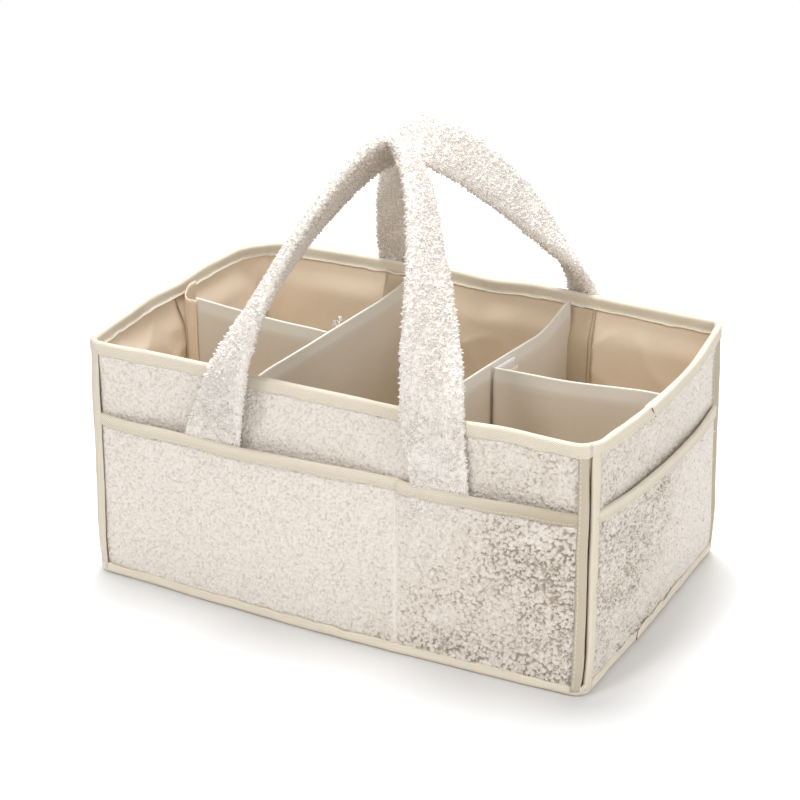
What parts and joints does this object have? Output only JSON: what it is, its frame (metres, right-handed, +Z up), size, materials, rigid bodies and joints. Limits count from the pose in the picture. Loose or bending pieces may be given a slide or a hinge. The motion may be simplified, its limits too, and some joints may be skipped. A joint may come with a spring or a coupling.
{
  "type": "diaper caddy",
  "caption": "Soft open-top nursery caddy in boucle cloth with taped edges, outside pockets, swinging strap handles and hook-and-loop dividers that split it into compartments.",
  "frame": {"origin": "on the floor, under the middle of the base", "axes": "+X along the length to the right, +Y to the back, +Z up; -Y is the pocketed front"},
  "size_m": [0.3988, 0.2508, 0.3336],
  "materials": {
    "boucle": "curly off-white boucle pile",
    "twill_tape": "cream twill binding tape",
    "lining": "smooth tan woven polyester",
    "divider_cover": "smooth pale grey cloth",
    "tab_cloth": "tan cloth with hook backing",
    "hook_loop": "white brushed loop tape",
    "stiffener": "plain sheet board"
  },
  "bodies": {
    "caddy": {"back_board": "stiffener", "back_outer": "boucle", "back_panel_left_tape": "twill_tape", "back_panel_right_tape": "twill_tape", "back_pocket": "boucle", "back_pocket_tape": "twill_tape", "base_board": "stiffener", "base_lining": "lining", "base_outer": "lining", "base_tape": "twill_tape", "front_board": "stiffener", "front_handle_left_foot": "boucle", "front_handle_right_foot": "boucle", "front_outer": "boucle", "front_panel_left_tape": "twill_tape", "front_panel_right_tape": "twill_tape", "front_pocket": "boucle", "front_pocket_tape": "twill_tape", "left_board": "stiffener", "left_cross_divider_rear_tab": "tab_cloth", "left_cross_front_loop_strip": "hook_loop", "left_cross_rear_loop_strip": "hook_loop", "left_outer": "boucle", "left_panel_back_tape": "twill_tape", "left_panel_front_tape": "twill_tape", "left_pocket": "boucle", "left_pocket_tape": "twill_tape", "left_wall_loop_strip": "hook_loop", "rear_handle_left_foot": "boucle", "rear_handle_right_foot": "boucle", "right_board": "stiffener", "right_cross_divider_rear_tab": "tab_cloth", "right_cross_front_loop_strip": "hook_loop", "right_cross_rear_loop_strip": "hook_loop", "right_outer": "boucle", "right_panel_back_tape": "twill_tape", "right_panel_front_tape": "twill_tape", "right_pocket": "boucle", "right_pocket_tape": "twill_tape", "right_wall_loop_strip": "hook_loop", "rim_tape": "twill_tape", "wall_lining": "lining"},
    "front_handle": {"front_handle_loop": "boucle"},
    "rear_handle": {"rear_handle_loop": "boucle"},
    "left_cross_divider": {"left_cross_divider_cover": "divider_cover", "left_cross_divider_board": "stiffener", "left_cross_divider_front_tab": "tab_cloth", "left_cross_loop_patch": "hook_loop"},
    "left_side_divider": {"left_side_divider_cover": "divider_cover", "left_side_divider_board": "stiffener", "left_side_divider_inner_tab": "tab_cloth", "left_side_divider_wall_tab": "tab_cloth"},
    "right_cross_divider": {"right_cross_divider_cover": "divider_cover", "right_cross_divider_board": "stiffener", "right_cross_divider_front_tab": "tab_cloth", "right_cross_loop_patch": "hook_loop"},
    "right_side_divider": {"right_side_divider_cover": "divider_cover", "right_side_divider_board": "stiffener", "right_side_divider_inner_tab": "tab_cloth", "right_side_divider_wall_tab": "tab_cloth"}
  },
  "joints": [
    {"name": "front_handle_swing", "type": "hinge", "parent": "caddy", "child": "front_handle", "pos_m": [0, -0.1236, 0.1825], "axis": [1, 0, 0], "range_deg": [0, 170]},
    {"name": "rear_handle_swing", "type": "hinge", "parent": "caddy", "child": "rear_handle", "pos_m": [0, 0.1236, 0.1825], "axis": [-1, 0, 0], "range_deg": [0, 170]},
    {"name": "left_cross_swing", "type": "hinge", "parent": "caddy", "child": "left_cross_divider", "pos_m": [-0.07, 0.098, 0.087], "axis": [0, 0, 1], "range_deg": [0, 16]},
    {"name": "right_cross_swing", "type": "hinge", "parent": "caddy", "child": "right_cross_divider", "pos_m": [0.07, 0.098, 0.087], "axis": [0, 0, -1], "range_deg": [0, 16]},
    {"name": "left_divider_lift", "type": "slide", "parent": "caddy", "child": "left_side_divider", "axis": [0, 0, 1], "range_m": [0, 0.185]},
    {"name": "right_divider_lift", "type": "slide", "parent": "caddy", "child": "right_side_divider", "axis": [0, 0, 1], "range_m": [0, 0.185]}
  ]
}
